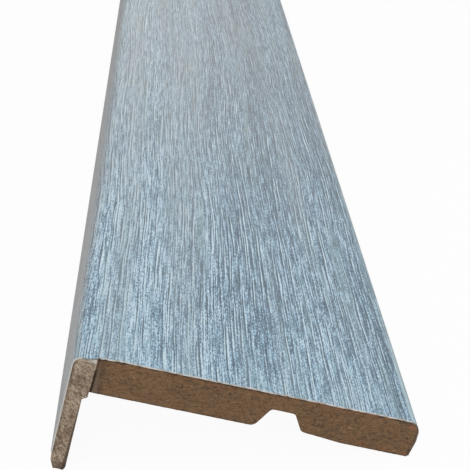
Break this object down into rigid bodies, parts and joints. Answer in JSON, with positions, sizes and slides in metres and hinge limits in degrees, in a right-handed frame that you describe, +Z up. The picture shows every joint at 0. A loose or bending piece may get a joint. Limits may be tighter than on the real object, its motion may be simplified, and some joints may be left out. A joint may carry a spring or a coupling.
{
  "type": "telescopic door architrave",
  "caption": "L-shaped foil-wrapped MDF door casing strip: a flat face board with a relief groove in its back and a tongue along one edge that slides into the door lining.",
  "frame": {"origin": "on the floor, under the middle of the part's box, as it rests decor side up on its tongue's tip and its free edge", "axes": "+Y along the stock, away from the end that the picture shows; +X across the face, from the tongue to the free edge; +Z up"},
  "size_m": [0.0936, 2.2514, 0.0321],
  "materials": {
    "mdf_board": "sawn MDF, bare",
    "mdf_tongue": "sawn MDF, bare",
    "decor_foil": "embossed grey wood-grain decor foil, satin"
  },
  "bodies": {
    "root": {"face_board": "mdf_board", "tongue": "mdf_tongue", "decor_foil": "decor_foil"}
  },
  "joints": []
}
